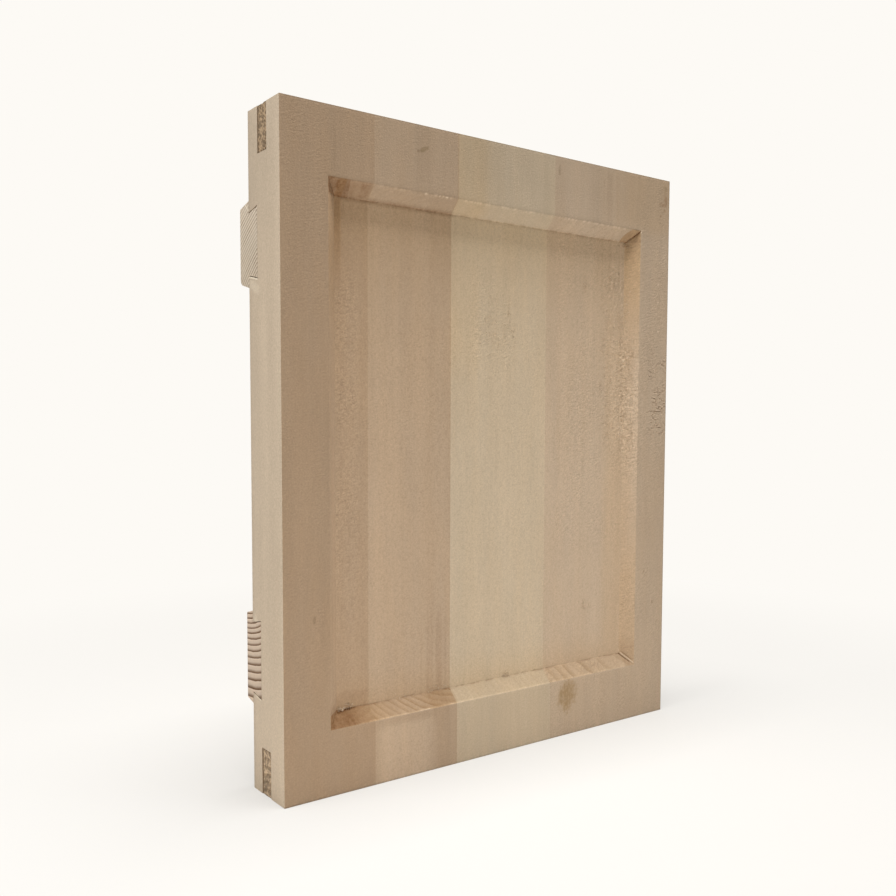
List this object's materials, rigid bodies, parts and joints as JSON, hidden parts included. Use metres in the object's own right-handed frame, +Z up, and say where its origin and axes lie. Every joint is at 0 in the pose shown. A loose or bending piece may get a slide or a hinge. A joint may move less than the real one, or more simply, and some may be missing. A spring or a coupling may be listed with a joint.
{
  "type": "recessed wooden painting panel",
  "caption": "Upright edge-glued wooden board with a bevelled sunk field in front, a spline in each end and tapered battens in sliding dovetails across the back.",
  "frame": {"origin": "on the ground under the middle of the upright board, half way between its front face and the upper batten's outer face", "axes": "+X to the right as seen from the front, +Y to the back, where the battens are, +Z up along the grain"},
  "size_m": [0.24, 0.039, 0.3],
  "materials": {
    "lime_tan": "planed and sanded, raw",
    "lime_brown": "planed and sanded, raw",
    "lime_pale": "planed and sanded, raw",
    "lime_grey": "planed and sanded, raw",
    "dark_hardwood": "sawn and sanded flush, raw",
    "pine_fine": "planed, raw",
    "pine_coarse": "planed, raw"
  },
  "bodies": {
    "panel": {"left_stave": "lime_tan", "inner_left_stave": "lime_brown", "inner_right_stave": "lime_pale", "right_stave": "lime_grey", "top_spline": "dark_hardwood", "bottom_spline": "dark_hardwood"},
    "upper_batten": {"upper_batten": "pine_fine"},
    "lower_batten": {"lower_batten": "pine_coarse"}
  },
  "joints": [
    {"name": "upper_batten_slide", "type": "slide", "parent": "panel", "child": "upper_batten", "axis": [1, 0, 0], "range_m": [0, 0.245]},
    {"name": "lower_batten_slide", "type": "slide", "parent": "panel", "child": "lower_batten", "axis": [-1, 0, 0], "range_m": [0, 0.245]}
  ]
}
